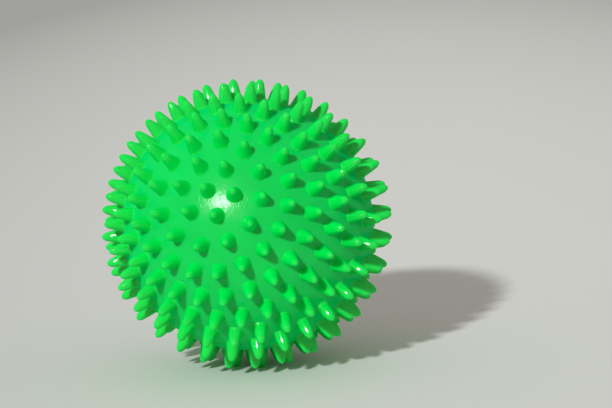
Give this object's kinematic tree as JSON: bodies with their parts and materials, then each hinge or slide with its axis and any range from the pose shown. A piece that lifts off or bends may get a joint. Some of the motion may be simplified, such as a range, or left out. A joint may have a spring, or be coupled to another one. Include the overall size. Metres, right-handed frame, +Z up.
{
  "type": "spiky massage ball",
  "caption": "Hollow soft ball covered all over in blunt conical spikes, with an inflation valve and a pull-out stopper pin.",
  "frame": {"origin": "on the floor under the ball's centre, at the bottom centre of its box", "axes": "+Z up from the floor that the ball rests on; the picture is taken from the -Y side, looking along +Y and slightly down; the valve faces away from that camera, to the right and down"},
  "size_m": [0.0896, 0.0893, 0.0889],
  "materials": {
    "green_pvc": "glossy soft PVC, bright green, smooth as moulded",
    "valve_pvc": "satin soft PVC, slightly darker green",
    "stopper_plastic": "satin off-white polyethylene"
  },
  "bodies": {
    "ball": {"skin": "green_pvc", "valve_sleeve": "valve_pvc"},
    "stopper": {"valve_stopper": "stopper_plastic"}
  },
  "joints": [
    {"name": "stopper_pull", "type": "slide", "parent": "ball", "child": "stopper", "axis": [0.269, 0.8742, -0.4042], "range_m": [0, 0.02]}
  ]
}
